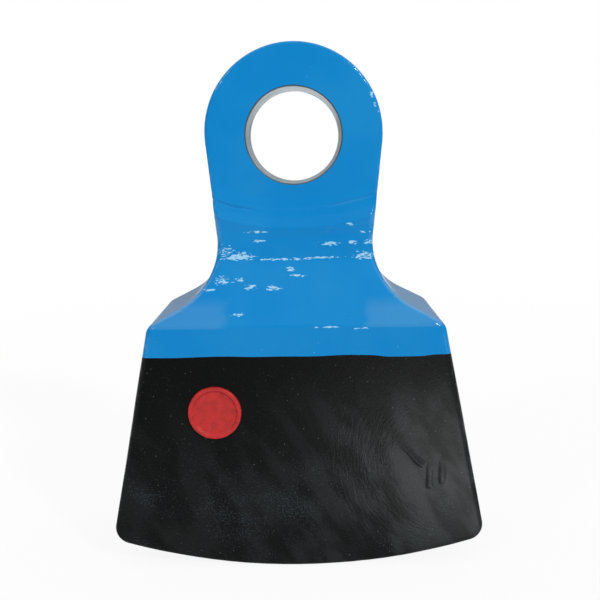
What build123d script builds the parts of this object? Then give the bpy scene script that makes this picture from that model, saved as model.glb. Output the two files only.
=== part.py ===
"""Swing hammer of a limestone crusher: one steel casting, hung on a pin between two rotor discs.

The eye at the top turns on the hammer pin. Below it a short neck widens over sloped shoulders into
the striking head, which is thicker and flares downwards to a curved face. The clearance step between
eye and neck and the curved striking face are both struck about the rotor's centre line.

Millimetres. Origin at the centre of the bore, +Z up towards the crown of the eye, +Y along the bore.
"""

import os
from math import cos, radians, sin, tan

from build123d import *

# Rotor that the hammer swings on: pin centre to rotor centre
pin_circle_radius = 193.0

# Heights, one below the other from the centre of the bore
eye_drop = 76.0
clearance_step_height = 20.0
neck_height = 34.0
shoulder_height = 66.0
head_height = 267.0

# Eye, whose round stands a little high so that its crown has the thickest wall
bore_diameter = 100.0
bore_chamfer = 1.5
eye_wall = 43.5
eye_rise = 2.0
eye_thickness = 92.0

# Neck, with the step that clears the rotor discs
neck_taper_angle = 6.0
clearance_step_depth = 8.0
step_root_radius = 14.0

# Shoulders
shoulder_sweep_radius = 75.0
shoulder_angle = 27.5
shoulder_half_width = 156.7
shoulder_corner_radius = 16.0
slope_top_radius = 14.0
slope_foot_radius = 10.0

# Head
head_thickness = 164.0
side_flare_angle = 10.9
bottom_corner_radius = 18.0

# Rounding of the cast edges
head_edge_radius = 7.0
eye_edge_radius = 3.0

# Levels
step_top_z = -eye_drop
step_foot_z = step_top_z - clearance_step_height
slope_top_z = step_foot_z - neck_height
slope_foot_z = slope_top_z - shoulder_height
bottom_z = slope_foot_z - head_height

# Half thicknesses, from the middle plane to each face
eye_face_y = eye_thickness / 2
neck_face_y = eye_face_y + clearance_step_depth
head_face_y = head_thickness / 2

# Each neck side leaves the round of the eye on a tangent and is led on to the line of the shoulder
eye_radius = bore_diameter / 2 + eye_wall
crown_z = eye_rise + eye_radius
taper = radians(neck_taper_angle)
shoulder = radians(shoulder_angle)
tangent_x = eye_radius * cos(taper)
tangent_z = eye_rise - eye_radius * sin(taper)
corner_rise = tangent_z - slope_foot_z - (shoulder_half_width - tangent_x) * tan(shoulder)
neck_side_drop = corner_rise / (1 + tan(taper) * tan(shoulder))
waist_x = tangent_x - neck_side_drop * tan(taper)
waist_z = tangent_z - neck_side_drop
side_foot_x = shoulder_half_width + head_height * tan(radians(side_flare_angle))

# Sizes closer than this count as the same
same_size = 0.01

rotor_axis = Axis((0, 0, pin_circle_radius), (0, 1, 0))


def outline_edges(solid: Part) -> ShapeList[Edge]:
    """Edges where the side walls, which run along Y, meet the faces on the front and the back."""
    side_walls = solid.faces().filter_by(lambda face: len(face.edges().filter_by(Axis.Y)) > 0)
    return side_walls.edges().filter_by(Axis.Y, reverse=True)


def on_eye(edge: Edge) -> bool:
    """Whether an edge lies nearer to the middle plane than the neck's faces do."""
    return abs(edge.center().Y) < neck_face_y - same_size


with BuildPart() as hammer_casting:
    # Front outline, through the whole thickness of the head
    with BuildSketch(Plane.XZ) as outline:
        with BuildLine():
            FilletPolyline(
                (0, tangent_z),
                (tangent_x, tangent_z),
                (waist_x, waist_z),
                (shoulder_half_width, slope_foot_z),
                (side_foot_x, bottom_z),
                (0, bottom_z),
                radius=(0, shoulder_sweep_radius, shoulder_corner_radius, 0),
            )
            mirror(about=Plane.YZ)
        make_face()
        with Locations((0, pin_circle_radius)):
            Circle(pin_circle_radius - bottom_z, mode=Mode.INTERSECT)
        fillet(outline.vertices().group_by(Axis.Y)[0], bottom_corner_radius)
        with Locations((0, eye_rise)):
            Circle(eye_radius)
    extrude(amount=head_face_y, both=True)

    # Side profile: neck, sloped shoulders and the thick head
    with BuildSketch(Plane.YZ) as side_profile:
        with BuildLine():
            FilletPolyline(
                (0, crown_z),
                (neck_face_y, crown_z),
                (neck_face_y, slope_top_z),
                (head_face_y, slope_foot_z),
                (head_face_y, bottom_z),
                (0, bottom_z),
                radius=(0, slope_top_radius, slope_foot_radius, 0),
            )
            mirror(about=Plane.YZ)
        make_face()
    extrude(amount=side_foot_x, both=True, mode=Mode.INTERSECT)

    # Eye faces set back where the rotor discs turn, with a conical step out to the neck
    with BuildSketch(Plane.YZ) as disc_clearance:
        with BuildLine():
            FilletPolyline(
                (eye_face_y, pin_circle_radius),
                (eye_face_y, step_top_z),
                (neck_face_y, step_foot_z),
                (head_face_y, step_foot_z),
                (head_face_y, pin_circle_radius),
                radius=(0, step_root_radius, 0, 0, 0),
                close=True,
            )
        make_face()
        mirror(about=Plane.YZ)
    revolve(axis=rotor_axis, mode=Mode.SUBTRACT)

    # Cast edges: well rounded on neck and head, tighter round the eye
    fillet(outline_edges(hammer_casting.part).filter_by(on_eye, reverse=True), head_edge_radius)
    fillet(outline_edges(hammer_casting.part).filter_by(on_eye), eye_edge_radius)

    # Machined bore for the hammer pin
    with Locations(Plane.XZ):
        Hole(bore_diameter / 2)
    bore = hammer_casting.faces().filter_by(GeomType.CYLINDER).filter_by(
        lambda face: abs(face.radius - bore_diameter / 2) < same_size
    )
    chamfer(bore.edges().filter_by(GeomType.CIRCLE), bore_chamfer)

hammer_casting.part.label = "hammer_casting"

os.makedirs("parts", exist_ok=True)
export_step(hammer_casting.part, "parts/hammer_casting.step")
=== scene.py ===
"""Looks of a crusher's swing hammer, built round its packed casting.

A copy of the casting gets the unevenness of a sand casting under brushed enamel, and its pin bore is cut
again as machined steel. A blank round button stands on the head.
Metres, in the frame of the casting: origin at the centre of the bore, +Z up, +Y along the bore.
"""

import logging
import math
from dataclasses import dataclass
from enum import Enum

import bmesh
import bpy
from mathutils import Matrix, Vector, noise
from mathutils.bvhtree import BVHTree

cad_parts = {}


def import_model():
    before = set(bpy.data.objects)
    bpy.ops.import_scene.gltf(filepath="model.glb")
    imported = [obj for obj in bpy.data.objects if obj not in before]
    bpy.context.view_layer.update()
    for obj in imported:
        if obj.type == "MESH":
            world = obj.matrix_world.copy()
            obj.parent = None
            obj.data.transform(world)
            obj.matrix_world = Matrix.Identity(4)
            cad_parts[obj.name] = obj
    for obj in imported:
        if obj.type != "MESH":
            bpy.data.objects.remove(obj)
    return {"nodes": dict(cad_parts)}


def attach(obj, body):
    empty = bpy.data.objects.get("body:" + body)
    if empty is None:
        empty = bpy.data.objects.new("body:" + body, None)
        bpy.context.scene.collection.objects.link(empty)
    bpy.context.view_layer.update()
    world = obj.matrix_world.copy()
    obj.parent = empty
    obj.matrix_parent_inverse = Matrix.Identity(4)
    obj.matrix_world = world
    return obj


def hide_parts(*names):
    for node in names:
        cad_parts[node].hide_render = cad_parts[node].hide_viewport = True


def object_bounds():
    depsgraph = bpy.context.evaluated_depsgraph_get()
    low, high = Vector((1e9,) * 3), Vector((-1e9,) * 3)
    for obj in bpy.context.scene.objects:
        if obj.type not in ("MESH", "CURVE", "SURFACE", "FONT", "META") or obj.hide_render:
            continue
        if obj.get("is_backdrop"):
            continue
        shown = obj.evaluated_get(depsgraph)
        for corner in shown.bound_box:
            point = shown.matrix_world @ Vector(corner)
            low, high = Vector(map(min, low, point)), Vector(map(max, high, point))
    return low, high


CASTING_NODE = "hammer_casting"

# Sizes of the casting
BORE_RADIUS = 0.050
EYE_FACE_Y = 0.046

# Points closer than this are one point
SAME_PLACE = 1e-6

# Where a share is nothing and where it is full
Fade = tuple[float, float]

# Inputs of a shader node by name or number, each with a value to set, or with an output or a node to link
Inputs = dict[int | str, object]

log = logging.getLogger("hammer")


def linear(colour: str) -> tuple[float, float, float, float]:
    """Turn an sRGB hex colour into the linear colour that shaders take.

    Args:
        colour: Six hex digits after a hash sign.

    Returns:
        Red, green, blue and an alpha of one.
    """
    channels = [int(colour[start:start + 2], 16) / 255 for start in (1, 3, 5)]
    red, green, blue = [c / 12.92 if c <= 0.04045 else ((c + 0.055) / 1.055) ** 2.4 for c in channels]
    return red, green, blue, 1.0


def smooth_step(low: float, high: float, value: float) -> float:
    """Rise smoothly from zero at low to one at high.

    Args:
        low: Value up to which the result is zero.
        high: Value from which the result is one.
        value: Where to read the step.

    Returns:
        A share between zero and one.
    """
    share = min(1.0, max(0.0, (value - low) / (high - low)))
    return share * share * (3 - 2 * share)


class Canvas:
    """Node tree of a material or a world, with the place that its patterns follow."""

    def __init__(self, owner: bpy.types.Material | bpy.types.World, coordinates: str = "Object") -> None:
        """Start an empty tree.

        Args:
            owner: Material or world that the tree belongs to.
            coordinates: Which texture coordinates give the place.
        """
        owner.use_nodes = True
        self.tree = owner.node_tree
        self.tree.nodes.clear()
        self.place = self.add("ShaderNodeTexCoord").outputs[coordinates]

    def add(self, kind: str, inputs: Inputs | None = None, **settings: object) -> bpy.types.Node:
        """Add a shader node with its settings and links.

        Args:
            kind: Blender's type name for the node.
            inputs: What to set or link.
            **settings: Node properties by name.

        Returns:
            The new node.
        """
        node = self.tree.nodes.new(kind)
        for name, value in settings.items():
            setattr(node, name, value)
        for key, value in (inputs or {}).items():
            if isinstance(value, bpy.types.Node):
                value = next(socket for socket in value.outputs if socket.enabled)
            if isinstance(value, bpy.types.NodeSocket):
                self.tree.links.new(value, node.inputs[key])
            else:
                node.inputs[key].default_value = value
        return node

    def mask(
        self, limits: list[tuple[object, Fade]], most: float = 1.0, shape: str = "SMOOTHSTEP"
    ) -> bpy.types.Node:
        """Mark a place by limits, with a share that fades to nothing past any of them.

        Args:
            limits: What to read, and the fade of the share there.
            most: Share inside all limits.
            shape: Blender's name for the way that the share rises.

        Returns:
            The node with the share.
        """
        share = None
        for value, (none, full) in limits:
            inputs = {"Value": value, "From Min": none, "From Max": full}
            inputs["To Max"] = most if share is None else 1.0
            ramp = self.add("ShaderNodeMapRange", inputs, interpolation_type=shape)
            if share is not None:
                ramp = self.add("ShaderNodeMath", {0: share, 1: ramp}, operation="MULTIPLY")
            share = ramp
        return share

    def layered(self, ground: str, coats: list[tuple[bpy.types.Node, str]]) -> bpy.types.Node:
        """Lay thin coats of colour over each other.

        Args:
            ground: Hex colour of the ground.
            coats: Share and hex colour of each coat, from the ground outwards.

        Returns:
            The node with the colour.
        """
        below = linear(ground)
        for share, colour in coats:
            inputs = {"Factor": share, "A": below, "B": linear(colour)}
            below = self.add("ShaderNodeMix", inputs, data_type="RGBA")
        return below


def new_object(name: str, shape: bmesh.types.BMesh) -> bpy.types.Object:
    """Turn a finished bmesh into an object of the scene.

    Args:
        name: Name of the object and its mesh.
        shape: The bmesh, which is freed.

    Returns:
        The new object.
    """
    mesh = bpy.data.meshes.new(name)
    shape.to_mesh(mesh)
    shape.free()
    made = bpy.data.objects.new(name, mesh)
    bpy.context.scene.collection.objects.link(made)
    return made


def applied(modified: bpy.types.Object) -> bpy.types.Mesh:
    """Read an object's mesh with its modifiers applied, then remove the object.

    Args:
        modified: Object with live modifiers.

    Returns:
        The finished mesh.
    """
    bpy.context.view_layer.update()
    finished = bpy.data.meshes.new_from_object(modified.evaluated_get(bpy.context.evaluated_depsgraph_get()))
    before = modified.data
    bpy.data.objects.remove(modified)
    bpy.data.meshes.remove(before)
    return finished


def lathed(
    section: list[tuple[float, float]], centre: tuple[float, float], steps: int
) -> bmesh.types.BMesh:
    """Turn half a section round an axis that runs from front to back.

    Args:
        section: Points of the section, each with its distance from the axis and its place along it.
        centre: Where the axis lies, across and up.
        steps: Number of steps in the full turn.

    Returns:
        The closed shape.
    """
    across, up = centre
    shape = bmesh.new()
    path = [shape.verts.new((across + radius, along, up)) for radius, along in section]
    edges = [shape.edges.new(pair) for pair in zip(path, path[1:])]
    bmesh.ops.spin(
        shape,
        geom=path + edges,
        cent=(across, 0, up),
        axis=(0, 1, 0),
        angle=2 * math.pi,
        steps=steps,
        use_merge=True,
    )
    bmesh.ops.remove_doubles(shape, verts=shape.verts, dist=SAME_PLACE)
    bmesh.ops.recalc_face_normals(shape, faces=shape.faces)
    return shape


@dataclass(frozen=True)
class Patch:
    """Level oval place on the casting, in the view from the front."""

    across: float
    up: float
    half_length: float
    half_height: float
    fade: Fade = (1.3, 0.6)

    def nearness(self, across: float, up: float) -> float:
        """Tell how near a point is to the middle.

        Args:
            across: The point's place across.
            up: The point's height.

        Returns:
            One well inside the oval, zero well outside it.
        """
        span = math.hypot((across - self.across) / self.half_length, (up - self.up) / self.half_height)
        return smooth_step(*self.fade, span)


@dataclass(frozen=True)
class Crease:
    """Stretch of an arc round the rotor's axis, in the view from the front."""

    radius: float
    start_x: float
    end_x: float
    depth: float


@dataclass(frozen=True)
class Finish:
    """What every finish shares: a material of one Principled shader, whose inputs the finish works out."""

    def material(self, name: str) -> bpy.types.Material:
        """Make the finish's material.

        Args:
            name: Name of the material.

        Returns:
            The material.
        """
        material = bpy.data.materials.new(name)
        canvas = Canvas(material)
        shader = canvas.add("ShaderNodeBsdfPrincipled", self.inputs(canvas))
        canvas.add("ShaderNodeOutputMaterial", {"Surface": shader})
        return material

    def inputs(self, canvas: Canvas) -> Inputs:
        """Work out the shader's inputs.

        Args:
            canvas: Where the nodes go.

        Returns:
            The inputs by name.
        """
        raise NotImplementedError


@dataclass(frozen=True)
class BlueEnamel(Finish):
    """Alkyd gloss enamel, brushed thickly over rough cast steel.

    It gives the eye a deep even blue under a clear skin that mirrors lamps, with dull dusty places on the
    shoulders and slope corners that also carry a painted reflection, and painted glints of lamps in short
    broken pale lines along the top of the slope. The lines of the brush, under 1 mm apart, are too fine to
    show and are drawn 2.2 mm apart.
    """

    colour: str = "#0f80c4"
    colour_thin: str = "#1b86c6"
    # Pale dust on the shoulders and slope corners, which also stands for a painted reflection of the bright
    # studio
    dust: str = "#86b0c6"
    # Painted highlight: near-white colour that stands for glints of lamps on the gloss
    painted_glint: str = "#a3d3ec"
    roughness: float = 0.11
    dusty_roughness: float = 0.50
    ior: float = 1.45
    drift_width: float = 0.09
    drift_level: Fade = (0.35, 0.70)
    orange_peel_width: float = 0.0035
    orange_peel_height: float = 0.00003
    stroke_width: float = 0.0022
    stroke_height: float = 0.00003
    stroke_stretch: float = 0.05
    dust_and_sheen_edge_width: float = 0.012
    corner_x: Fade = (0.074, 0.086)
    corner_top_z: Fade = (-0.164, -0.180)
    corner_foot_z: Fade = (-0.199, -0.197)
    corner_dust_and_sheen: float = 0.12
    shoulder_tilt: Fade = (0.5, 0.85)
    shoulder_top_z: Fade = (-0.09, -0.11)
    shoulder_dust_and_sheen: float = 0.30
    glint_fade: Fade = (1.1, 0.3)
    rag_width: float = 0.0014
    rag_stretch: float = 0.33
    rag_pull: float = 0.34
    rag_level: Fade = (0.77, 0.84)
    rag_most: float = 0.9
    # Places of the painted glints: neck, top and foot of the slope, and the eye's right rim, seen from the
    # front
    painted_glint_places: tuple[Patch, ...] = (
        Patch(-0.060, -0.1262, 0.026, 0.0070),
        Patch(-0.073, -0.1220, 0.013, 0.0110),
        Patch(0.073, -0.1262, 0.020, 0.0080),
        Patch(0.078, -0.1125, 0.009, 0.0040),
        Patch(-0.012, -0.1292, 0.050, 0.0022),
        Patch(0.030, -0.1278, 0.034, 0.0020),
        Patch(-0.041, -0.1000, 0.014, 0.0026),
        Patch(-0.037, -0.1090, 0.009, 0.0028),
        Patch(0.075, -0.1010, 0.010, 0.0024),
        Patch(0.058, -0.0925, 0.007, 0.0024),
        Patch(0.036, -0.1130, 0.020, 0.0034),
        Patch(0.060, -0.1120, 0.012, 0.0034),
        Patch(-0.076, -0.1500, 0.012, 0.0070),
        Patch(-0.089, -0.1590, 0.011, 0.0022),
        Patch(-0.058, -0.1495, 0.010, 0.0034),
        Patch(-0.049, -0.1570, 0.012, 0.0042),
        Patch(-0.023, -0.1580, 0.012, 0.0046),
        Patch(-0.005, -0.1390, 0.009, 0.0042),
        Patch(0.004, -0.1460, 0.014, 0.0024),
        Patch(-0.061, -0.1840, 0.010, 0.0028),
        Patch(0.035, -0.1975, 0.026, 0.0014),
        Patch(0.068, -0.1990, 0.014, 0.0018),
        Patch(0.0815, 0.0410, 0.0026, 0.0056),
        Patch(0.0850, 0.0300, 0.0024, 0.0048),
        Patch(0.0885, 0.0230, 0.0014, 0.0020),
    )

    def inputs(self, canvas: Canvas) -> Inputs:
        """Work out colour, gloss and skin.

        Args:
            canvas: Where the nodes go.

        Returns:
            The inputs by name.
        """
        cloud = canvas.add("ShaderNodeTexNoise", {"Vector": canvas.place, "Scale": 1 / self.drift_width})
        drift = canvas.mask([(cloud, self.drift_level)])
        # Dust and a painted reflection on the shoulder tops and the slope corners
        dust = self.dust_and_sheen_share(canvas)
        # Painted glints of lamps, laid into the colour
        painted_shine = self.painted_glint_share(canvas)
        colour = canvas.layered(
            self.colour, [(drift, self.colour_thin), (dust, self.dust), (painted_shine, self.painted_glint)]
        )
        gloss = canvas.add(
            "ShaderNodeMapRange", {"Value": dust, "To Min": self.roughness, "To Max": self.dusty_roughness}
        )
        peel = canvas.add(
            "ShaderNodeTexNoise", {"Vector": canvas.place, "Scale": 1 / self.orange_peel_width}
        )
        skin = canvas.add("ShaderNodeBump", {"Distance": self.orange_peel_height, "Height": peel})
        laid = canvas.add(
            "ShaderNodeMapping", {"Vector": canvas.place, "Scale": (self.stroke_stretch, 1, 1)}
        )
        strokes = canvas.add("ShaderNodeTexNoise", {"Vector": laid, "Scale": 1 / self.stroke_width})
        brushed = canvas.add(
            "ShaderNodeBump", {"Distance": self.stroke_height, "Height": strokes, "Normal": skin}
        )
        return {"Base Color": colour, "Roughness": gloss, "IOR": self.ior, "Normal": brushed}

    def dust_and_sheen_share(self, canvas: Canvas) -> bpy.types.Node:
        """Lay dust, together with a painted reflection, on the lower corners of the slopes and on the
        shoulder tops.

        Args:
            canvas: Where the nodes go.

        Returns:
            The node with the share of dust and painted reflection.
        """
        axes = canvas.add("ShaderNodeSeparateXYZ", {0: canvas.place}).outputs
        edge = {"Vector": canvas.place, "Scale": 1 / self.dust_and_sheen_edge_width, "Detail": 4.0}
        ragged = canvas.add("ShaderNodeTexNoise", edge)
        aside = canvas.add("ShaderNodeMath", {0: axes["X"]}, operation="ABSOLUTE")
        outwards = canvas.add(
            "ShaderNodeMath", {0: ragged, 1: self.dust_and_sheen_edge_width, 2: aside}, operation="MULTIPLY_ADD"
        )
        corner_limits = [
            (outwards, self.corner_x),
            (axes["Z"], self.corner_top_z),
            (axes["Z"], self.corner_foot_z),
        ]
        on_corner = canvas.mask(corner_limits, self.corner_dust_and_sheen)
        facing = canvas.add("ShaderNodeNewGeometry").outputs["Normal"]
        upwards = canvas.add("ShaderNodeSeparateXYZ", {0: facing}).outputs["Z"]
        shoulder_limits = [(upwards, self.shoulder_tilt), (axes["Z"], self.shoulder_top_z)]
        on_shoulder = canvas.mask(shoulder_limits, self.shoulder_dust_and_sheen)
        return canvas.add("ShaderNodeMath", {0: on_corner, 1: on_shoulder}, operation="MAXIMUM")

    def painted_glint_share(self, canvas: Canvas) -> bpy.types.Node:
        """Paint pale glints of lamps in ragged places, solid in their middle and speckled at their edges.

        Args:
            canvas: Where the nodes go.

        Returns:
            The node with the share of painted glints.
        """
        nearness = None
        for patch in self.painted_glint_places:
            offset = canvas.add(
                "ShaderNodeVectorMath",
                {0: canvas.place, 1: (patch.across, 0, patch.up)},
                operation="SUBTRACT",
            )
            scaled = canvas.add(
                "ShaderNodeVectorMath",
                {0: offset, 1: (1 / patch.half_length, 0, 1 / patch.half_height)},
                operation="MULTIPLY",
            )
            span = canvas.add("ShaderNodeVectorMath", {0: scaled}, operation="LENGTH")
            here = canvas.mask([(span, self.glint_fade)], shape="LINEAR")
            nearness = here if nearness is None else canvas.add(
                "ShaderNodeMath", {0: nearness, 1: here}, operation="MAXIMUM"
            )
        laid = canvas.add("ShaderNodeMapping", {"Vector": canvas.place, "Scale": (self.rag_stretch, 1, 1)})
        rag = canvas.add("ShaderNodeTexNoise", {"Vector": laid, "Scale": 1 / self.rag_width, "Detail": 2.0})
        level = canvas.add(
            "ShaderNodeMath", {0: nearness, 1: self.rag_pull, 2: rag}, operation="MULTIPLY_ADD"
        )
        return canvas.mask([(level, self.rag_level)], self.rag_most)


@dataclass(frozen=True)
class BlackEnamel(Finish):
    """Semi-gloss black enamel on the striking head.

    It gives the eye a near black with a soft sheen, partly painted into the colour towards the low right,
    dust in its pores and the ridges of a stiff brush.
    Specks of dust and grains of bloom, under 0.5 mm wide, are drawn about 2 mm wide so that they show.
    """

    colour: str = "#050606"
    # Painted sheen: paler black that stands for light mirrored on the low right of the head
    painted_shine: str = "#2a2e2f"
    bloom: str = "#2b3740"
    dust: str = "#7b8288"
    roughness: float = 0.38
    sheen_roughness: float = 0.25
    ior: float = 1.45
    sheen_width: float = 0.028
    sheen_cloud: Fade = (0.40, 0.62)
    sheen_least: float = 0.15
    sheen_stretch: float = 2.4
    sheen_slant: float = math.radians(58)
    sheen_right: float = 0.6
    sheen_right_x: Fade = (-0.10, 0.17)
    sheen_low: float = 0.28
    sheen_low_z: Fade = (-0.235, -0.40)
    sheen_top_z: Fade = (-0.240, -0.290)
    bloom_width: float = 0.0020
    bloom_cloud_width: float = 0.035
    bloom_cloud: Fade = (0.40, 0.70)
    bloom_pull: float = 0.21
    bloom_level: Fade = (0.64, 0.82)
    bloom_most: float = 0.6
    bloom_z: Fade = (-0.30, -0.36)
    speck_width: float = 0.0022
    speck_level: Fade = (0.75, 0.83)
    speck_most: float = 0.6
    grain_width: float = 0.0030
    grain_height: float = 0.00014
    brush_centre: tuple[float, float, float] = (0.170, 0.0, -0.341)
    brush_inside: Fade = (0.055, 0.085)
    brush_outside: Fade = (0.165, 0.125)
    brush_left_x: Fade = (0.01, 0.05)
    brush_top_z: Fade = (-0.065, -0.030)
    lines_per_radian: float = 6.0
    bristle_spacing: float = 0.0036
    bristle_height: float = 0.00045

    def inputs(self, canvas: Canvas) -> Inputs:
        """Work out colour, sheen and skin.

        Args:
            canvas: Where the nodes go.

        Returns:
            The inputs by name.
        """
        # Painted sheen on the low right of the head, laid into the colour and the roughness
        painted_sheen = self.painted_sheen_share(canvas)
        bloom = self.bloom_share(canvas)
        specks = canvas.add(
            "ShaderNodeTexNoise", {"Vector": canvas.place, "Scale": 1 / self.speck_width, "Detail": 1.0}
        )
        dust = canvas.mask([(specks, self.speck_level)], self.speck_most, "LINEAR")
        colour = canvas.layered(self.colour, [(painted_sheen, self.painted_shine), (bloom, self.bloom), (dust, self.dust)])
        sheen = canvas.add(
            "ShaderNodeMapRange", {"Value": painted_sheen, "To Min": self.roughness, "To Max": self.sheen_roughness}
        )
        grain = canvas.add(
            "ShaderNodeTexNoise", {"Vector": canvas.place, "Scale": 1 / self.grain_width, "Detail": 3.0}
        )
        skin = canvas.add("ShaderNodeBump", {"Distance": self.grain_height, "Height": grain})
        brushed = canvas.add(
            "ShaderNodeBump",
            {"Distance": self.bristle_height, "Height": self.bristle_marks(canvas), "Normal": skin},
        )
        return {"Base Color": colour, "Roughness": sheen, "IOR": self.ior, "Normal": brushed}

    def painted_sheen_share(self, canvas: Canvas) -> bpy.types.Node:
        """Paint a sheen paler towards the low right corner, in slanting clouds, that fades out at the top of
        the head.

        Args:
            canvas: Where the nodes go.

        Returns:
            The node with the share of painted sheen.
        """
        axes = canvas.add("ShaderNodeSeparateXYZ", {0: canvas.place}).outputs
        slanted = canvas.add(
            "ShaderNodeMapping",
            {
                "Vector": canvas.place,
                "Rotation": (0, self.sheen_slant, 0),
                "Scale": (self.sheen_stretch, 1, 1),
            },
            vector_type="TEXTURE",
        )
        cloud = canvas.add(
            "ShaderNodeTexNoise", {"Vector": slanted, "Scale": 1 / self.sheen_width, "Detail": 3.0}
        )
        clouded = canvas.add(
            "ShaderNodeMapRange",
            {
                "Value": cloud,
                "From Min": self.sheen_cloud[0],
                "From Max": self.sheen_cloud[1],
                "To Min": self.sheen_least,
            },
            interpolation_type="SMOOTHSTEP",
        )
        right = canvas.mask([(axes["X"], self.sheen_right_x)], self.sheen_right)
        low = canvas.mask([(axes["Z"], self.sheen_low_z)], self.sheen_low)
        # The painted sheen is kept off the top band of the head
        below_top = canvas.mask([(axes["Z"], self.sheen_top_z)])
        lean = canvas.add("ShaderNodeMath", {0: right, 1: low}, operation="ADD")
        leaning = canvas.add("ShaderNodeMath", {0: lean, 1: below_top}, operation="MULTIPLY")
        return canvas.add("ShaderNodeMath", {0: leaning, 1: clouded}, operation="MULTIPLY")

    def bloom_share(self, canvas: Canvas) -> bpy.types.Node:
        """Sprinkle the lower head with bluish bloom, in fine grains that gather in clouds.

        Args:
            canvas: Where the nodes go.

        Returns:
            The node with the share of bloom.
        """
        up = canvas.add("ShaderNodeSeparateXYZ", {0: canvas.place}).outputs["Z"]
        grains = canvas.add(
            "ShaderNodeTexNoise", {"Vector": canvas.place, "Scale": 1 / self.bloom_width, "Detail": 2.0}
        )
        cloud = canvas.add(
            "ShaderNodeTexNoise",
            {"Vector": canvas.place, "Scale": 1 / self.bloom_cloud_width, "Detail": 3.0},
        )
        gathered = canvas.mask([(cloud, self.bloom_cloud)], self.bloom_pull, "LINEAR")
        low = canvas.mask([(up, self.bloom_z)])
        raised = canvas.add("ShaderNodeMath", {0: gathered, 1: low, 2: grains}, operation="MULTIPLY_ADD")
        return canvas.mask([(raised, self.bloom_level)], self.bloom_most, "LINEAR")

    def bristle_marks(self, canvas: Canvas) -> bpy.types.Node:
        """Swing the ridges of a stiff brush round the right of the head.

        The turn is counted from the right, so that its seam lies where the brush left no marks.

        Args:
            canvas: Where the nodes go.

        Returns:
            The node with the height of the ridges.
        """
        offset = canvas.add(
            "ShaderNodeVectorMath", {0: self.brush_centre, 1: canvas.place}, operation="SUBTRACT"
        )
        axes = canvas.add("ShaderNodeSeparateXYZ", {0: offset}).outputs
        flat = canvas.add("ShaderNodeCombineXYZ", {"X": axes["X"], "Z": axes["Z"]})
        radius = canvas.add("ShaderNodeVectorMath", {0: flat}, operation="LENGTH")
        turned = canvas.add("ShaderNodeMath", {0: axes["Z"], 1: axes["X"]}, operation="ARCTAN2")
        arcs = canvas.add("ShaderNodeMath", {0: radius, 1: 1 / self.bristle_spacing}, operation="MULTIPLY")
        along = canvas.add("ShaderNodeMath", {0: turned, 1: self.lines_per_radian}, operation="MULTIPLY")
        polar = canvas.add("ShaderNodeCombineXYZ", {"X": arcs, "Y": along})
        ridges = canvas.add("ShaderNodeTexNoise", {"Vector": polar, "Scale": 1.0, "Distortion": 1.0})
        limits = [
            (radius, self.brush_inside),
            (radius, self.brush_outside),
            (axes["X"], self.brush_left_x),
            (axes["Z"], self.brush_top_z),
        ]
        return canvas.add("ShaderNodeMath", {0: canvas.mask(limits), 1: ridges}, operation="MULTIPLY")


@dataclass(frozen=True)
class MachinedSteel(Finish):
    """Manganese steel, bored on a lathe and left bare.

    It gives the eye a pale cool metal with fine rings round the bore, dulled by a film of oxide, and
    chamfers darkened by paint. The lathe's rings, about 0.3 mm apart, are drawn 1.6 mm apart to show.
    """

    colour: str = "#c9d5db"
    bloom: str = "#a0a6a6"
    bloom_width: float = 0.03
    bloom_level: Fade = (0.45, 0.75)
    stained: str = "#5c6b74"
    metallic: float = 0.7
    roughness: float = 0.42
    bloom_roughness: float = 0.57
    bore_radius: float = BORE_RADIUS
    stain_reach: float = 0.0005
    ring_width: float = 0.0016
    ring_stretch: float = 0.025
    ring_height: float = 0.00003

    def inputs(self, canvas: Canvas) -> Inputs:
        """Work out colour, roughness and tool marks.

        Args:
            canvas: Where the nodes go.

        Returns:
            The inputs by name.
        """
        cloud = canvas.add(
            "ShaderNodeTexNoise", {"Vector": canvas.place, "Scale": 1 / self.bloom_width, "Detail": 4.0}
        )
        bloom = canvas.mask([(cloud, self.bloom_level)])
        flat = canvas.add("ShaderNodeVectorMath", {0: canvas.place, 1: (1, 0, 1)}, operation="MULTIPLY")
        radius = canvas.add("ShaderNodeVectorMath", {0: flat}, operation="LENGTH")
        stain = canvas.mask([(radius, (self.bore_radius, self.bore_radius + self.stain_reach))])
        colour = canvas.layered(self.colour, [(bloom, self.bloom), (stain, self.stained)])
        roughness = canvas.add(
            "ShaderNodeMapRange", {"Value": bloom, "To Min": self.roughness, "To Max": self.bloom_roughness}
        )
        drawn = canvas.add(
            "ShaderNodeMapping",
            {"Vector": canvas.place, "Scale": (self.ring_stretch, 1, self.ring_stretch)},
        )
        rings = canvas.add("ShaderNodeTexNoise", {"Vector": drawn, "Scale": 1 / self.ring_width})
        cut = canvas.add("ShaderNodeBump", {"Distance": self.ring_height, "Height": rings})
        return {"Base Color": colour, "Metallic": self.metallic, "Roughness": roughness, "Normal": cut}


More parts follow.
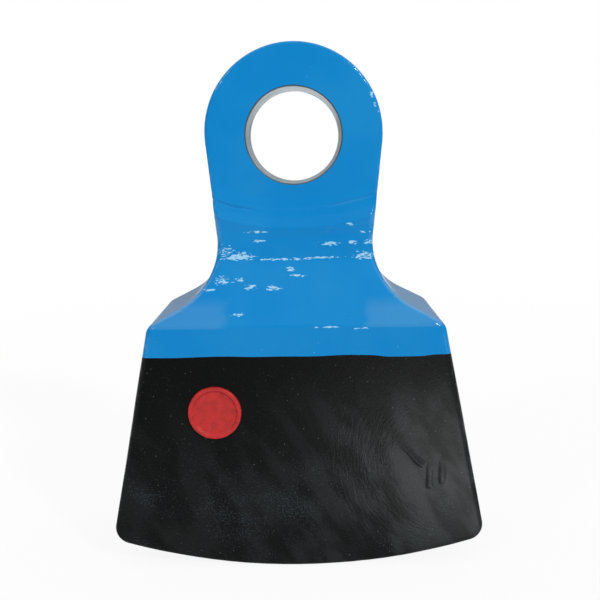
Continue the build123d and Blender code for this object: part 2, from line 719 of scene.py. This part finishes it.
@dataclass(frozen=True)
class RedEnamel(Finish):
    """Red enamel, dabbed by hand on the raised button.

    It gives the eye a warm red that thins to a darker tone in its dabs.
    """

    colour: str = "#bd2625"
    thin: str = "#a92423"
    roughness: float = 0.42
    ior: float = 1.45
    dab_width: float = 0.008
    dab_level: Fade = (0.35, 0.70)
    stroke_width: float = 0.0015
    stroke_stretch: float = 0.25
    stroke_height: float = 0.00006

    def inputs(self, canvas: Canvas) -> Inputs:
        """Work out colour and brush strokes.

        Args:
            canvas: Where the nodes go.

        Returns:
            The inputs by name.
        """
        cloud = canvas.add(
            "ShaderNodeTexNoise", {"Vector": canvas.place, "Scale": 1 / self.dab_width, "Detail": 3.0}
        )
        dabs = canvas.mask([(cloud, self.dab_level)])
        colour = canvas.layered(self.colour, [(dabs, self.thin)])
        laid = canvas.add(
            "ShaderNodeMapping", {"Vector": canvas.place, "Scale": (self.stroke_stretch, 1, 1)}
        )
        strokes = canvas.add("ShaderNodeTexNoise", {"Vector": laid, "Scale": 1 / self.stroke_width})
        relief = canvas.add("ShaderNodeBump", {"Distance": self.stroke_height, "Height": strokes})
        return {"Base Color": colour, "Roughness": self.roughness, "IOR": self.ior, "Normal": relief}


@dataclass(frozen=True)
class CastSurface:
    """Unevenness of the painted casting, as heights above its true surface.

    Swells and dimples come from the sand mould, sags, fold and runs from the brush, chips from handling.
    """

    swell_width: float = 0.075
    swell_height: float = 0.0003
    dimple_width: float = 0.018
    dimple_height: float = 0.00010
    rotor_z: float = 0.193
    step_inner_radius: float = 0.258
    step_outer_radius: float = 0.300
    eye_face_y: float = EYE_FACE_Y
    neck_face_y: float = 0.054
    ramp_evenness: float = 0.6
    ramp_side: Fade = (0.40, 0.10)
    ramp_front: Fade = (0.3, 0.7)
    streak_length: float = 0.09
    streak_width: float = 0.0045
    streak_height: float = 0.00014
    creases: tuple[Crease, ...] = (
        Crease(radius=0.2735, start_x=-0.095, end_x=-0.040, depth=0.0013),
        Crease(radius=0.2685, start_x=0.026, end_x=0.095, depth=0.0008),
    )
    crease_half_width: float = 0.0017
    crease_wander: float = 0.0012
    crease_wander_length: float = 0.020
    sagged: tuple[Patch, ...] = (
        Patch(-0.045, -0.1010, 0.011, 0.004),
        Patch(-0.039, -0.1080, 0.008, 0.003),
        Patch(0.033, -0.0990, 0.011, 0.005),
        Patch(0.061, -0.0940, 0.006, 0.003),
        Patch(0.074, -0.1010, 0.009, 0.003),
        Patch(0.040, -0.1140, 0.015, 0.005),
        Patch(0.068, -0.1130, 0.006, 0.005),
        Patch(-0.076, -0.1515, 0.014, 0.009),
        Patch(-0.089, -0.1590, 0.010, 0.003),
        Patch(-0.059, -0.1500, 0.010, 0.004),
        Patch(-0.048, -0.1585, 0.011, 0.005),
        Patch(-0.023, -0.1590, 0.012, 0.006),
        Patch(-0.006, -0.1390, 0.009, 0.007),
        Patch(0.007, -0.1450, 0.006, 0.004),
        Patch(-0.008, -0.1490, 0.009, 0.004),
        Patch(0.065, -0.1980, 0.016, 0.003),
        Patch(-0.061, -0.1845, 0.009, 0.004),
    )
    sag_length: float = 0.0070
    sag_width: float = 0.0026
    sag_height: float = 0.00055
    fine_sag_share: float = 0.4
    fine_sag_scale: float = 2.3
    chip_width: float = 0.007
    chip_depth: float = 0.0013
    chip_edge: Fade = (0.89, 0.80)
    chip_level: float = 0.1
    front_y: float = -0.070
    front_facing: float = -0.8
    fold_start: tuple[float, float] = (0.1085, -0.3290)
    fold_end: tuple[float, float] = (0.1322, -0.3512)
    fold_height: float = 0.0011
    fold_width: float = 0.009
    fold_sway: float = 0.0008
    fold_lip: float = 0.0008
    fold_rise: Fade = (-0.15, 0.6)
    fold_fall: Fade = (1.06, 0.96)
    run_radius: float = 0.0040
    run_height: float = 0.0011
    run_full_share: float = 0.9
    run_tops: tuple[tuple[float, float], ...] = ((0.1410, -0.336), (0.1545, -0.334))
    run_ends: tuple[tuple[float, float], ...] = ((0.1406, -0.3720), (0.1540, -0.3670))

    def height(self, point: Vector, normal: Vector) -> float:
        """Add up what lies on the true surface at one place.

        Args:
            point: Place on the true surface.
            normal: Direction in which the surface faces there.

        Returns:
            The height above the true surface, below zero where material is missing.
        """
        rise = self.swell_height * noise.noise(point / self.swell_width)
        rise += self.dimple_height * noise.noise(point / self.dimple_width)
        rise += self.streaks(point) + self.sags(point) - self.chips(point, normal) - self.creased(point)
        if point.y < self.front_y and normal.y < self.front_facing:
            rise += self.fold(point) + self.runs(point)
        return rise

    def streaks(self, point: Vector) -> float:
        """Rolls of metal along the step, which follows a circle round the rotor.

        Args:
            point: Place on the true surface.

        Returns:
            The height of the rolls there.
        """
        radius = math.hypot(point.x, point.z - self.rotor_z)
        middle = (self.step_inner_radius + self.step_outer_radius) / 2
        reach = (self.step_outer_radius - self.step_inner_radius) / 2
        if point.z > 0 or abs(radius - middle) > reach:
            return 0.0
        roll = noise.noise(Vector((point.x / self.streak_length, point.y, radius / self.streak_width)))
        return self.streak_height * roll * smooth_step(reach, 0.5 * reach, abs(radius - middle))

    def creased(self, point: Vector) -> float:
        """Creases that the paint leaves along the top of the step, each a stretch of an arc.

        Args:
            point: Place on the true surface.

        Returns:
            The depth of the creases there.
        """
        radius = math.hypot(point.x, point.z - self.rotor_z)
        across = point.x if point.y < 0 else -point.x
        depth = 0.0
        for crease in self.creases:
            middle = (crease.start_x + crease.end_x) / 2
            reach = (crease.end_x - crease.start_x) / 2
            along = Vector((across / self.crease_wander_length, crease.radius, 0))
            aside = abs(radius - crease.radius - self.crease_wander * noise.noise(along))
            fade = smooth_step(reach, 0.4 * reach, abs(across - middle))
            depth += crease.depth * fade * smooth_step(self.crease_half_width, 0, aside)
        return depth if point.z < 0 else 0.0

    def sags(self, point: Vector) -> float:
        """Short level sags of thick paint on the neck and the slope.

        Args:
            point: Place on the true surface.

        Returns:
            The height of the sags there.
        """
        across = point.x if point.y < 0 else -point.x
        share = max(patch.nearness(across, point.z) for patch in self.sagged)
        if share == 0:
            return 0.0
        stretched = Vector((point.x / self.sag_length, point.y / self.sag_length, point.z / self.sag_width))
        fine = self.fine_sag_share * noise.noise(self.fine_sag_scale * stretched)
        return self.sag_height * share * max(0.0, noise.noise(stretched) + fine)

    def softened_step(self, point: Vector, normal: Vector) -> float:
        """Pull the step between eye and neck out into a long shallow ramp, as thick paint does.

        Args:
            point: Place on the true surface.
            normal: Direction in which the surface faces there.

        Returns:
            How far the place moves away from the middle plane.
        """
        radius = math.hypot(point.x, point.z - self.rotor_z)
        if point.z > 0 or not self.step_inner_radius < radius < self.step_outer_radius:
            return 0.0
        share = (radius - self.step_inner_radius) / (self.step_outer_radius - self.step_inner_radius)
        climbed = self.ramp_evenness * share + (1 - self.ramp_evenness) * smooth_step(0, 1, share)
        ramp = self.eye_face_y + (self.neck_face_y - self.eye_face_y) * climbed
        on_face = smooth_step(*self.ramp_side, abs(normal.x)) * smooth_step(*self.ramp_front, abs(normal.y))
        return (ramp - abs(point.y)) * on_face

    def chips(self, point: Vector, normal: Vector) -> float:
        """Chips along the cast edges.

        Args:
            point: Place on the true surface.
            normal: Direction in which the surface faces there.

        Returns:
            The depth of the chips there.
        """
        flatness = max(abs(normal.y), math.hypot(normal.x, normal.z))
        edge = smooth_step(*self.chip_edge, flatness)
        return self.chip_depth * edge * max(0.0, noise.noise(point / self.chip_width) - self.chip_level)

    def fold(self, point: Vector) -> float:
        """A fold of thick paint that ends in a sharp lip.

        Args:
            point: Place on the head's front.

        Returns:
            The height of the fold there.
        """
        start = Vector(self.fold_start)
        along = Vector(self.fold_end) - start
        length = along.length
        along /= length
        offset = Vector((point.x, point.z)) - start
        share = offset.dot(along) / length
        aside = offset.x * along.y - offset.y * along.x + self.fold_sway * math.sin(2 * math.pi * share)
        lip = smooth_step(self.fold_lip, -self.fold_lip, aside) * smooth_step(-self.fold_width, 0.0, aside)
        reach = smooth_step(*self.fold_rise, share) * smooth_step(*self.fold_fall, share)
        return self.fold_height * lip * reach

    def runs(self, point: Vector) -> float:
        """Two runs of paint with full round ends.

        Args:
            point: Place on the head's front.

        Returns:
            The height of the runs there.
        """
        rise = 0.0
        for top, end in zip(self.run_tops, self.run_ends):
            start = Vector(top)
            along = Vector(end) - start
            offset = Vector((point.x, point.z)) - start
            share = min(1.0, max(0.0, offset.dot(along) / along.length_squared))
            gap = (offset - share * along).length / self.run_radius
            rise += self.run_height * max(0.0, 1 - gap * gap) * smooth_step(0.0, self.run_full_share, share)
        return rise


class Region(Enum):
    """Finish of each part of the casting, by the number of its material slot."""

    EYE_AND_SHOULDERS = 0
    HEAD = 1
    BORE = 2


@dataclass
class Casting:
    """The casting itself: eye, neck, shoulders and head, with the machined bore."""

    surface: CastSurface
    skin_mesh_width: float = 0.0016
    most_triangles: int = 190_000
    bore_radius: float = BORE_RADIUS
    bore_chamfer: float = 0.0015
    eye_face_y: float = EYE_FACE_Y
    cutter_overrun: float = 0.012
    cutter_steps: int = 160
    paint_line_z: float = -0.2280
    paint_line_bow: float = 0.0011
    paint_line_width: float = 0.05
    paint_line_reach: float = 0.012
    paint_dip: Patch = Patch(0.113, -0.2280, 0.026, 0.010)
    paint_dip_depth: float = 0.0015
    sharp_angle: float = math.radians(35)
    sag_zone_x: float = 0.105
    sag_zone_y: float = 0.044
    sag_zone_z: tuple[float, float] = (-0.165, -0.055)
    run_zone_x: float = 0.090
    run_zone_y: float = -0.080
    run_zone_z: tuple[float, float] = (-0.385, -0.290)

    def build(self, node: bpy.types.Object) -> bpy.types.Object:
        """Build the dressed casting in place of its CAD node.

        Args:
            node: CAD node that the casting is copied from.

        Returns:
            The new object.
        """
        blank = self.blank(node)
        truth = BVHTree.FromBMesh(blank)
        skin = self.remeshed(blank)
        self.raise_relief(skin, truth)
        drilled = self.drilled(skin)
        self.part_colours(drilled)
        casting = bpy.data.objects.new("casting", drilled)
        bpy.context.scene.collection.objects.link(casting)
        return casting

    def blank(self, node: bpy.types.Object) -> bmesh.types.BMesh:
        """Copy the casting and close its bore.

        Args:
            node: CAD node that the casting is copied from.

        Returns:
            The closed mesh.
        """
        blank = bmesh.new()
        blank.from_mesh(node.data)
        bmesh.ops.remove_doubles(blank, verts=blank.verts, dist=SAME_PLACE)
        # A little past the chamfers' outer rims
        reach = self.bore_radius + 1.2 * self.bore_chamfer
        wall = [f for f in blank.faces if all(math.hypot(v.co.x, v.co.z) < reach for v in f.verts)]
        bmesh.ops.delete(blank, geom=wall, context="FACES")
        rims = [e for e in blank.edges if e.is_boundary]
        bmesh.ops.holes_fill(blank, edges=rims, sides=0)
        bmesh.ops.recalc_face_normals(blank, faces=blank.faces)
        return blank

    def remeshed(self, blank: bmesh.types.BMesh) -> bpy.types.Mesh:
        """Cover the closed casting with small even faces.

        Args:
            blank: The closed mesh, which is freed.

        Returns:
            A mesh whose faces are all about as wide as skin_mesh_width.
        """
        modified = new_object("casting_blank", blank)
        remesh = modified.modifiers.new("even_faces", "REMESH")
        remesh.mode = "VOXEL"
        remesh.voxel_size = self.skin_mesh_width
        return applied(modified)

    def raise_relief(self, skin: bpy.types.Mesh, truth: BVHTree) -> None:
        """Lay the even mesh on the true surface, then raise its unevenness.

        Args:
            skin: Mesh to change.
            truth: Search tree of the true surface.
        """
        shape = bmesh.new()
        shape.from_mesh(skin)
        faces = [f for f in shape.faces if self.is_detailed(f.calc_center_median())]
        edges = list(dict.fromkeys(e for f in faces for e in f.edges))
        bmesh.ops.subdivide_edges(shape, edges=edges, cuts=1, use_grid_fill=True)
        for vert in shape.verts:
            vert.co = truth.find_nearest(vert.co)[0]
        shape.normal_update()
        for vert in shape.verts:
            vert.co.y += math.copysign(self.surface.softened_step(vert.co, vert.normal), vert.co.y)
        shape.normal_update()
        heights = [self.surface.height(vert.co, vert.normal) for vert in shape.verts]
        for vert, height in zip(shape.verts, heights):
            vert.co += height * vert.normal
        shape.to_mesh(skin)
        shape.free()

    def is_detailed(self, point: Vector) -> bool:
        """Whether a place carries sags, the fold or the runs, which need finer faces."""
        on_neck = self.sag_zone_z[0] < point.z < self.sag_zone_z[1] and abs(point.x) < self.sag_zone_x
        on_front = self.run_zone_z[0] < point.z < self.run_zone_z[1] and point.x > self.run_zone_x
        return on_neck and abs(point.y) > self.sag_zone_y or on_front and point.y < self.run_zone_y

    def drilled(self, skin: bpy.types.Mesh) -> bpy.types.Mesh:
        """Thin the mesh where it is flat, then cut the bore through it.

        Args:
            skin: Mesh of the closed casting.

        Returns:
            The mesh with the bore, in the bore's own material slot.
        """
        for _ in Region:
            skin.materials.append(None)
        solid = bpy.data.objects.new("casting_solid", skin)
        bpy.context.scene.collection.objects.link(solid)
        thin = solid.modifiers.new("fewer_flat_faces", "DECIMATE")
        thin.ratio = min(1.0, self.most_triangles / (2 * len(skin.polygons)))
        cutter = self.cutter()
        bore = solid.modifiers.new("bore", "BOOLEAN")
        bore.operation = "DIFFERENCE"
        bore.solver = "MANIFOLD"
        bore.object = cutter
        drilled = applied(solid)
        bpy.data.objects.remove(cutter)
        return drilled

    def cutter(self) -> bpy.types.Object:
        """Turn the boring tool's path into a solid, with a flare that leaves the chamfers.

        Returns:
            The solid along the bore.
        """
        end = self.eye_face_y + self.cutter_overrun
        flare = self.bore_radius + self.bore_chamfer + self.cutter_overrun
        shoulder = self.eye_face_y - self.bore_chamfer
        section = [
            (0, -end),
            (flare, -end),
            (self.bore_radius, -shoulder),
            (self.bore_radius, shoulder),
            (flare, end),
            (0, end),
        ]
        shape = lathed(section, (0, 0), self.cutter_steps)
        for face in shape.faces:
            face.material_index = Region.BORE.value
        cutter = new_object("bore_cutter", shape)
        for _ in Region:
            cutter.data.materials.append(None)
        return cutter

    def part_colours(self, mesh: bpy.types.Mesh) -> None:
        """Cut the mesh at the paint line, bow the line a little and give each region its material.

        Args:
            mesh: Mesh of the casting.
        """
        shape = bmesh.new()
        shape.from_mesh(mesh)
        everything = shape.verts[:] + shape.edges[:] + shape.faces[:]
        line = (0, 0, self.paint_line_z)
        bmesh.ops.bisect_plane(shape, geom=everything, dist=SAME_PLACE, plane_co=line, plane_no=(0, 0, 1))
        for face in shape.faces:
            face.smooth = True
            if face.material_index != Region.BORE.value:
                on_head = face.calc_center_median().z < self.paint_line_z
                face.material_index = Region.HEAD.value if on_head else Region.EYE_AND_SHOULDERS.value
        for vert in shape.verts:
            closeness = smooth_step(self.paint_line_reach, 0.0, abs(vert.co.z - self.paint_line_z))
            if closeness > 0:
                vert.co.z += closeness * self.paint_line_bow * noise.noise(vert.co / self.paint_line_width)
                dip = self.paint_dip.nearness(vert.co.x, self.paint_dip.up)
                vert.co.z -= closeness * self.paint_dip_depth * dip
        shape.to_mesh(mesh)
        shape.free()
        mesh.set_sharp_from_angle(angle=self.sharp_angle)

    def dress(self, casting: bpy.types.Object) -> None:
        """Give the casting its finishes.

        Args:
            casting: Object to dress.
        """
        finishes = {
            Region.EYE_AND_SHOULDERS: BlueEnamel().material("blue_alkyd_gloss_enamel"),
            Region.HEAD: BlackEnamel().material("black_semi_gloss_enamel"),
            Region.BORE: MachinedSteel().material("bored_manganese_steel"),
        }
        for region, finish in finishes.items():
            casting.data.materials[region.value] = finish


@dataclass
class CastButton:
    """Blank round button on the head, with a low rim round a sunk floor."""

    centre: tuple[float, float] = (-0.0873, -0.2885)
    face_y: float = -0.082
    radius: float = 0.0285
    rim_width: float = 0.0042
    rim_slope: float = 0.0014
    rim_height: float = 0.0030
    floor_height: float = 0.0008
    floor_rings: tuple[float, ...] = (0.0, 0.4, 0.75)
    foot_depth: float = 0.0030
    edge_round: float = 0.0006
    dent_width: float = 0.009
    dent_depth: float = 0.00025
    sharp_angle: float = math.radians(25)
    steps: int = 96

    def build(self) -> bpy.types.Object:
        """Turn the button's half section round its own axis.

        Returns:
            The new object.
        """
        rim_inside = self.radius - self.rim_width
        outline = (
            *((share * rim_inside, self.floor_height) for share in self.floor_rings),
            (rim_inside - self.rim_slope, self.floor_height),
            (rim_inside, self.rim_height),
            (self.radius - 0.5 * self.rim_slope, self.rim_height),
            (self.radius, 0.0),
            (self.radius, -self.foot_depth),
            (0.0, -self.foot_depth),
        )
        section = [(radius, self.face_y - height) for radius, height in outline]
        shape = lathed(section, self.centre, self.steps)
        corners = [e for e in shape.edges if e.calc_face_angle(0.0) > self.sharp_angle]
        bmesh.ops.bevel(
            shape, geom=corners, offset=self.edge_round, affect="EDGES", segments=3, profile=0.5, material=-1
        )
        for vert in shape.verts:
            vert.co += self.dent_depth * noise.noise(vert.co / self.dent_width) * vert.normal
        for face in shape.faces:
            face.smooth = True
        return new_object("cast_button", shape)

    def dress(self, button: bpy.types.Object) -> None:
        """Paint the button red."""
        button.data.materials.append(RedEnamel().material("red_hand_painted_enamel"))


@dataclass(frozen=True)
class Lamp:
    """One distant lamp of the studio."""

    name: str
    elevation: float
    azimuth: float
    angle: float
    strength: float

    def build(self) -> None:
        """Hang the lamp, with its azimuth counted from the front towards the right."""
        light = bpy.data.lights.new(self.name, "SUN")
        light.energy = self.strength
        light.angle = math.radians(self.angle)
        lamp = bpy.data.objects.new(self.name, light)
        turn = Matrix.Rotation(math.radians(self.azimuth), 4, "Z")
        tip = Matrix.Rotation(math.radians(90 - self.elevation), 4, "X")
        lamp.matrix_world = turn @ tip
        bpy.context.scene.collection.objects.link(lamp)


@dataclass(frozen=True)
class Cloth(Finish):
    """Black felt of a card that only gloss sees.

    It gives the enamel something dark to mirror, with the little light that felt throws back.
    """

    level: float = 0.0

    def inputs(self, canvas: Canvas) -> Inputs:
        """Work out the cloth's brightness, which is even here.

        Args:
            canvas: Not used.

        Returns:
            The inputs by name.
        """
        return {
            "Base Color": (0, 0, 0, 1),
            "Roughness": 1.0,
            "Specular IOR Level": 0.0,
            "Emission Color": (1, 1, 1, 1),
            "Emission Strength": self.level,
        }


@dataclass(frozen=True)
class FloorCloth(Cloth):
    """Grey felt on the floor in front, paler near the object and in one lit oval.

    The oval is what gives the right of the black head its soft sheen.
    """

    level: float = 0.05
    near_level: float = 0.17
    far_y: float = -1.15
    near_y: float = -0.45
    glow: float = 1.9
    glow_centre: tuple[float, float, float] = (0.230, -0.44, 0.0)
    glow_reach: tuple[float, float] = (0.190, 0.42)
    glow_fade: Fade = (1.0, 0.2)

    def inputs(self, canvas: Canvas) -> Inputs:
        """Work out the cloth's brightness from place to place.

        Args:
            canvas: Where the nodes go.

        Returns:
            The inputs by name.
        """
        along = canvas.add("ShaderNodeSeparateXYZ", {0: canvas.place}).outputs["Y"]
        base = canvas.add(
            "ShaderNodeMapRange",
            {
                "Value": along,
                "From Min": self.far_y,
                "From Max": self.near_y,
                "To Min": self.level,
                "To Max": self.near_level,
            },
        )
        offset = canvas.add(
            "ShaderNodeVectorMath", {0: canvas.place, 1: self.glow_centre}, operation="SUBTRACT"
        )
        shrink = (1 / self.glow_reach[0], 1 / self.glow_reach[1], 0)
        scaled = canvas.add("ShaderNodeVectorMath", {0: offset, 1: shrink}, operation="MULTIPLY")
        span = canvas.add("ShaderNodeVectorMath", {0: scaled}, operation="LENGTH")
        oval = canvas.mask([(span, self.glow_fade)], self.glow)
        shine = canvas.add("ShaderNodeMath", {0: base, 1: oval}, operation="ADD")
        return {**super().inputs(canvas), "Emission Strength": shine}


@dataclass
class Studio:
    """White studio: floor, sky light, lamps and the cards that only gloss sees."""

    floor_gap: float = 0.0003
    floor_reach: float = 60.0
    floor_white: float = 0.90
    white_from: float = 0.7
    white_to: float = 2.4
    paper: str = "#f4f4f4"
    sky_foot: float = -0.2
    sky_low: float = 0.22
    sky_high: float = 0.80
    lamps: tuple[Lamp, ...] = (
        Lamp("key_lamp", elevation=30, azimuth=38, angle=6, strength=1.38),
        Lamp("fill_lamp", elevation=25, azimuth=-42, angle=6, strength=0.50),
    )
    floor_card_y: float = -1.55
    floor_card_half: tuple[float, float] = (1.5, 1.75)
    wall_reach: float = 3.3
    wall_half_height: float = 1.25
    dark_level: float = 0.01
    grey_level: float = 0.34
    upper_level: float = 0.10
    upper_elevation: float = math.radians(42)
    upper_half_height: float = 1.6

    def build(self, lowest: float) -> None:
        """Light the scene and lay its floor.

        Args:
            lowest: Height of the object's lowest point.
        """
        self.sky()
        self.floor(lowest - self.floor_gap)
        for lamp in self.lamps:
            lamp.build()
        self.cards(lowest - self.floor_gap)

    def shown_white(self, canvas: Canvas) -> bpy.types.Node:
        """Tell whether a ray shows the background itself: from the camera, off gloss or through glass.

        Args:
            canvas: Node tree that asks.

        Returns:
            The node that gives one for such a ray.
        """
        path = canvas.add("ShaderNodeLightPath").outputs
        gloss = canvas.add(
            "ShaderNodeMath", {0: path["Is Camera Ray"], 1: path["Is Glossy Ray"]}, operation="MAXIMUM"
        )
        return canvas.add("ShaderNodeMath", {0: gloss, 1: path["Is Transmission Ray"]}, operation="MAXIMUM")

    def sky(self) -> None:
        """White to look at, and a soft light from above for the object."""
        world = bpy.data.worlds.new("studio_sky")
        bpy.context.scene.world = world
        canvas = Canvas(world, "Generated")
        height = canvas.add("ShaderNodeSeparateXYZ", {0: canvas.place}).outputs["Z"]
        level = canvas.add(
            "ShaderNodeMapRange",
            {"Value": height, "From Min": self.sky_foot, "To Min": self.sky_low, "To Max": self.sky_high},
            interpolation_type="SMOOTHSTEP",
        )
        soft = canvas.add("ShaderNodeBackground", {"Color": (1, 1, 1, 1), "Strength": level})
        white = canvas.add("ShaderNodeBackground", {"Color": (1, 1, 1, 1), "Strength": 1.0})
        mixed = canvas.add("ShaderNodeMixShader", {0: self.shown_white(canvas), 1: soft, 2: white})
        canvas.add("ShaderNodeOutputWorld", {"Surface": mixed})

    def floor(self, level: float) -> None:
        """Lay the pale floor, which keeps the object's shadow.

        Args:
            level: Height of the floor.
        """
        material = bpy.data.materials.new("white_studio_paper")
        canvas = Canvas(material)
        paper = canvas.add("ShaderNodeBsdfDiffuse", {"Color": linear(self.paper)})
        white = canvas.add("ShaderNodeEmission", {"Color": (1, 1, 1, 1), "Strength": 1.0})
        distance = canvas.add("ShaderNodeVectorMath", {0: canvas.place}, operation="LENGTH")
        whiteness = canvas.add(
            "ShaderNodeMapRange",
            {
                "Value": distance,
                "From Min": self.white_from,
                "From Max": self.white_to,
                "To Min": self.floor_white,
            },
            interpolation_type="SMOOTHSTEP",
        )
        share = canvas.add(
            "ShaderNodeMath", {0: self.shown_white(canvas), 1: whiteness}, operation="MULTIPLY"
        )
        mixed = canvas.add("ShaderNodeMixShader", {0: share, 1: paper, 2: white})
        canvas.add("ShaderNodeOutputMaterial", {"Surface": mixed})
        shape = bmesh.new()
        place = Matrix.Translation((0, 0, level))
        bmesh.ops.create_grid(shape, x_segments=1, y_segments=1, size=self.floor_reach, matrix=place)
        floor = new_object("floor", shape)
        floor.data.materials.append(material)
        floor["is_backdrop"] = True

    def cards(self, level: float) -> None:
        """Stand cards round the object, as a photographer does to keep gloss paint deep.

        Args:
            level: Height of the floor.
        """
        lying = Matrix.Translation((0, self.floor_card_y, level + self.floor_gap / 3))
        laid = lying @ Matrix.Diagonal((*self.floor_card_half, 1, 1))
        self.card("floor_card", laid, FloorCloth().material("floor_cloth"))
        dark = Cloth(self.dark_level).material("dark_cloth")
        grey = Cloth(self.grey_level).material("grey_cloth")
        upright = Matrix.Rotation(math.pi / 2, 4, "X")
        in_front = Matrix.Translation((0, -self.wall_reach, level + self.wall_half_height)) @ upright
        wall = in_front @ Matrix.Diagonal((self.wall_reach, self.wall_half_height, 1, 1))
        around = (("front_card", dark), ("right_card", dark), ("back_card", grey), ("left_card", dark))
        for quarter, (name, cloth) in enumerate(around):
            self.card(name, Matrix.Rotation(quarter * math.pi / 2, 4, "Z") @ wall, cloth)
        raised = Matrix.Rotation(-self.upper_elevation, 4, "X")
        overhead = raised @ Matrix.Translation((0, -self.wall_reach, 0)) @ upright
        sheet = Matrix.Diagonal((self.wall_reach, self.upper_half_height, 1, 1))
        self.card("upper_card", overhead @ sheet, Cloth(self.upper_level).material("upper_cloth"))

    def card(self, name: str, place: Matrix, cloth: bpy.types.Material) -> None:
        """Stand one card that only mirrors itself in gloss.

        Args:
            name: Name of the card.
            place: Where it stands, from a flat square two metres wide.
            cloth: Material that it is covered with.
        """
        shape = bmesh.new()
        bmesh.ops.create_grid(shape, x_segments=1, y_segments=1, size=1.0, matrix=place)
        card = new_object(name, shape)
        card.data.materials.append(cloth)
        card.visible_camera = False
        card.visible_diffuse = False
        card.visible_transmission = False
        card.visible_shadow = False
        card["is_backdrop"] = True


@dataclass
class PhotoCamera:
    """Camera at the photograph's place and angle."""

    place: tuple[float, float, float] = (0.01157, -1.00073, -0.01344)
    yaw: float = math.radians(0.434)
    pitch: float = math.radians(-9.580)
    roll: float = math.radians(-0.8)
    lens: float = 54.0

    def build(self) -> None:
        """Set the camera up and make it the scene's own."""
        camera = bpy.data.objects.new("camera", bpy.data.cameras.new("camera"))
        camera.data.lens = self.lens
        camera.data.sensor_width = 36.0
        turned = (
            Matrix.Rotation(self.yaw, 4, "Z")
            @ Matrix.Rotation(math.pi / 2 + self.pitch, 4, "X")
            @ Matrix.Rotation(self.roll, 4, "Z")
        )
        camera.matrix_world = Matrix.Translation(self.place) @ turned
        bpy.context.scene.collection.objects.link(camera)
        bpy.context.scene.camera = camera


def report(piece: bpy.types.Object) -> None:
    """Log a piece's name and number of triangles."""
    piece.data.calc_loop_triangles()
    log.info("%s: %d triangles", piece.name, len(piece.data.loop_triangles))


def main() -> None:
    """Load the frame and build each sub-assembly round it."""
    logging.basicConfig(level=logging.INFO, format="%(message)s")
    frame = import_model()
    cad_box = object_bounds()
    bpy.context.scene.view_settings.view_transform = "Standard"
    PhotoCamera().build()

    part = Casting(CastSurface())
    casting = part.build(frame["nodes"][CASTING_NODE])
    part.dress(casting)
    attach(casting, "root")
    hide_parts(CASTING_NODE)
    report(casting)

    mark = CastButton()
    button = mark.build()
    mark.dress(button)
    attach(button, "root")
    report(button)

    Studio().build(cad_box[0][2])


if __name__ == "__main__":
    main()
